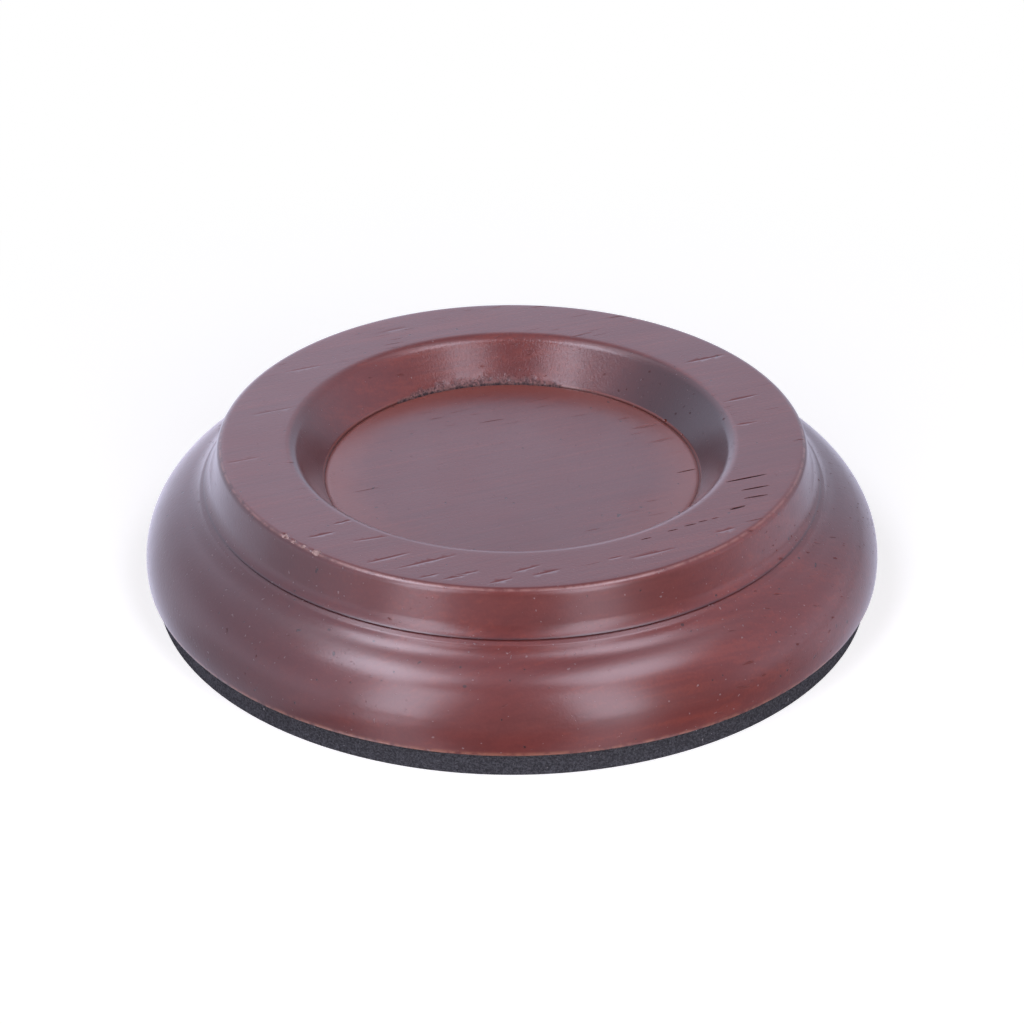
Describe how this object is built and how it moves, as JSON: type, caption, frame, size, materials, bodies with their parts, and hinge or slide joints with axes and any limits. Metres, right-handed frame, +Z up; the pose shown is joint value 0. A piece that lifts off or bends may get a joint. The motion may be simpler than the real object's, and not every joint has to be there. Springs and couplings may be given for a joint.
{
  "type": "castor cup",
  "caption": "Round turned wood cup with a shallow dish, flat rim, tapered neck and swelling bead on a black foam pad; a furniture castor stands in the dish.",
  "frame": {"origin": "centre of the foam pad's underside, on the floor", "axes": "+Z up along the turning axis"},
  "size_m": [0.11, 0.11, 0.024],
  "materials": {
    "stained_wood": "dark red-brown stain under satin lacquer",
    "black_foam": "matt closed-cell foam with a die-cut edge"
  },
  "bodies": {
    "root": {"turned_cup": "stained_wood", "foam_pad": "black_foam"}
  },
  "joints": []
}
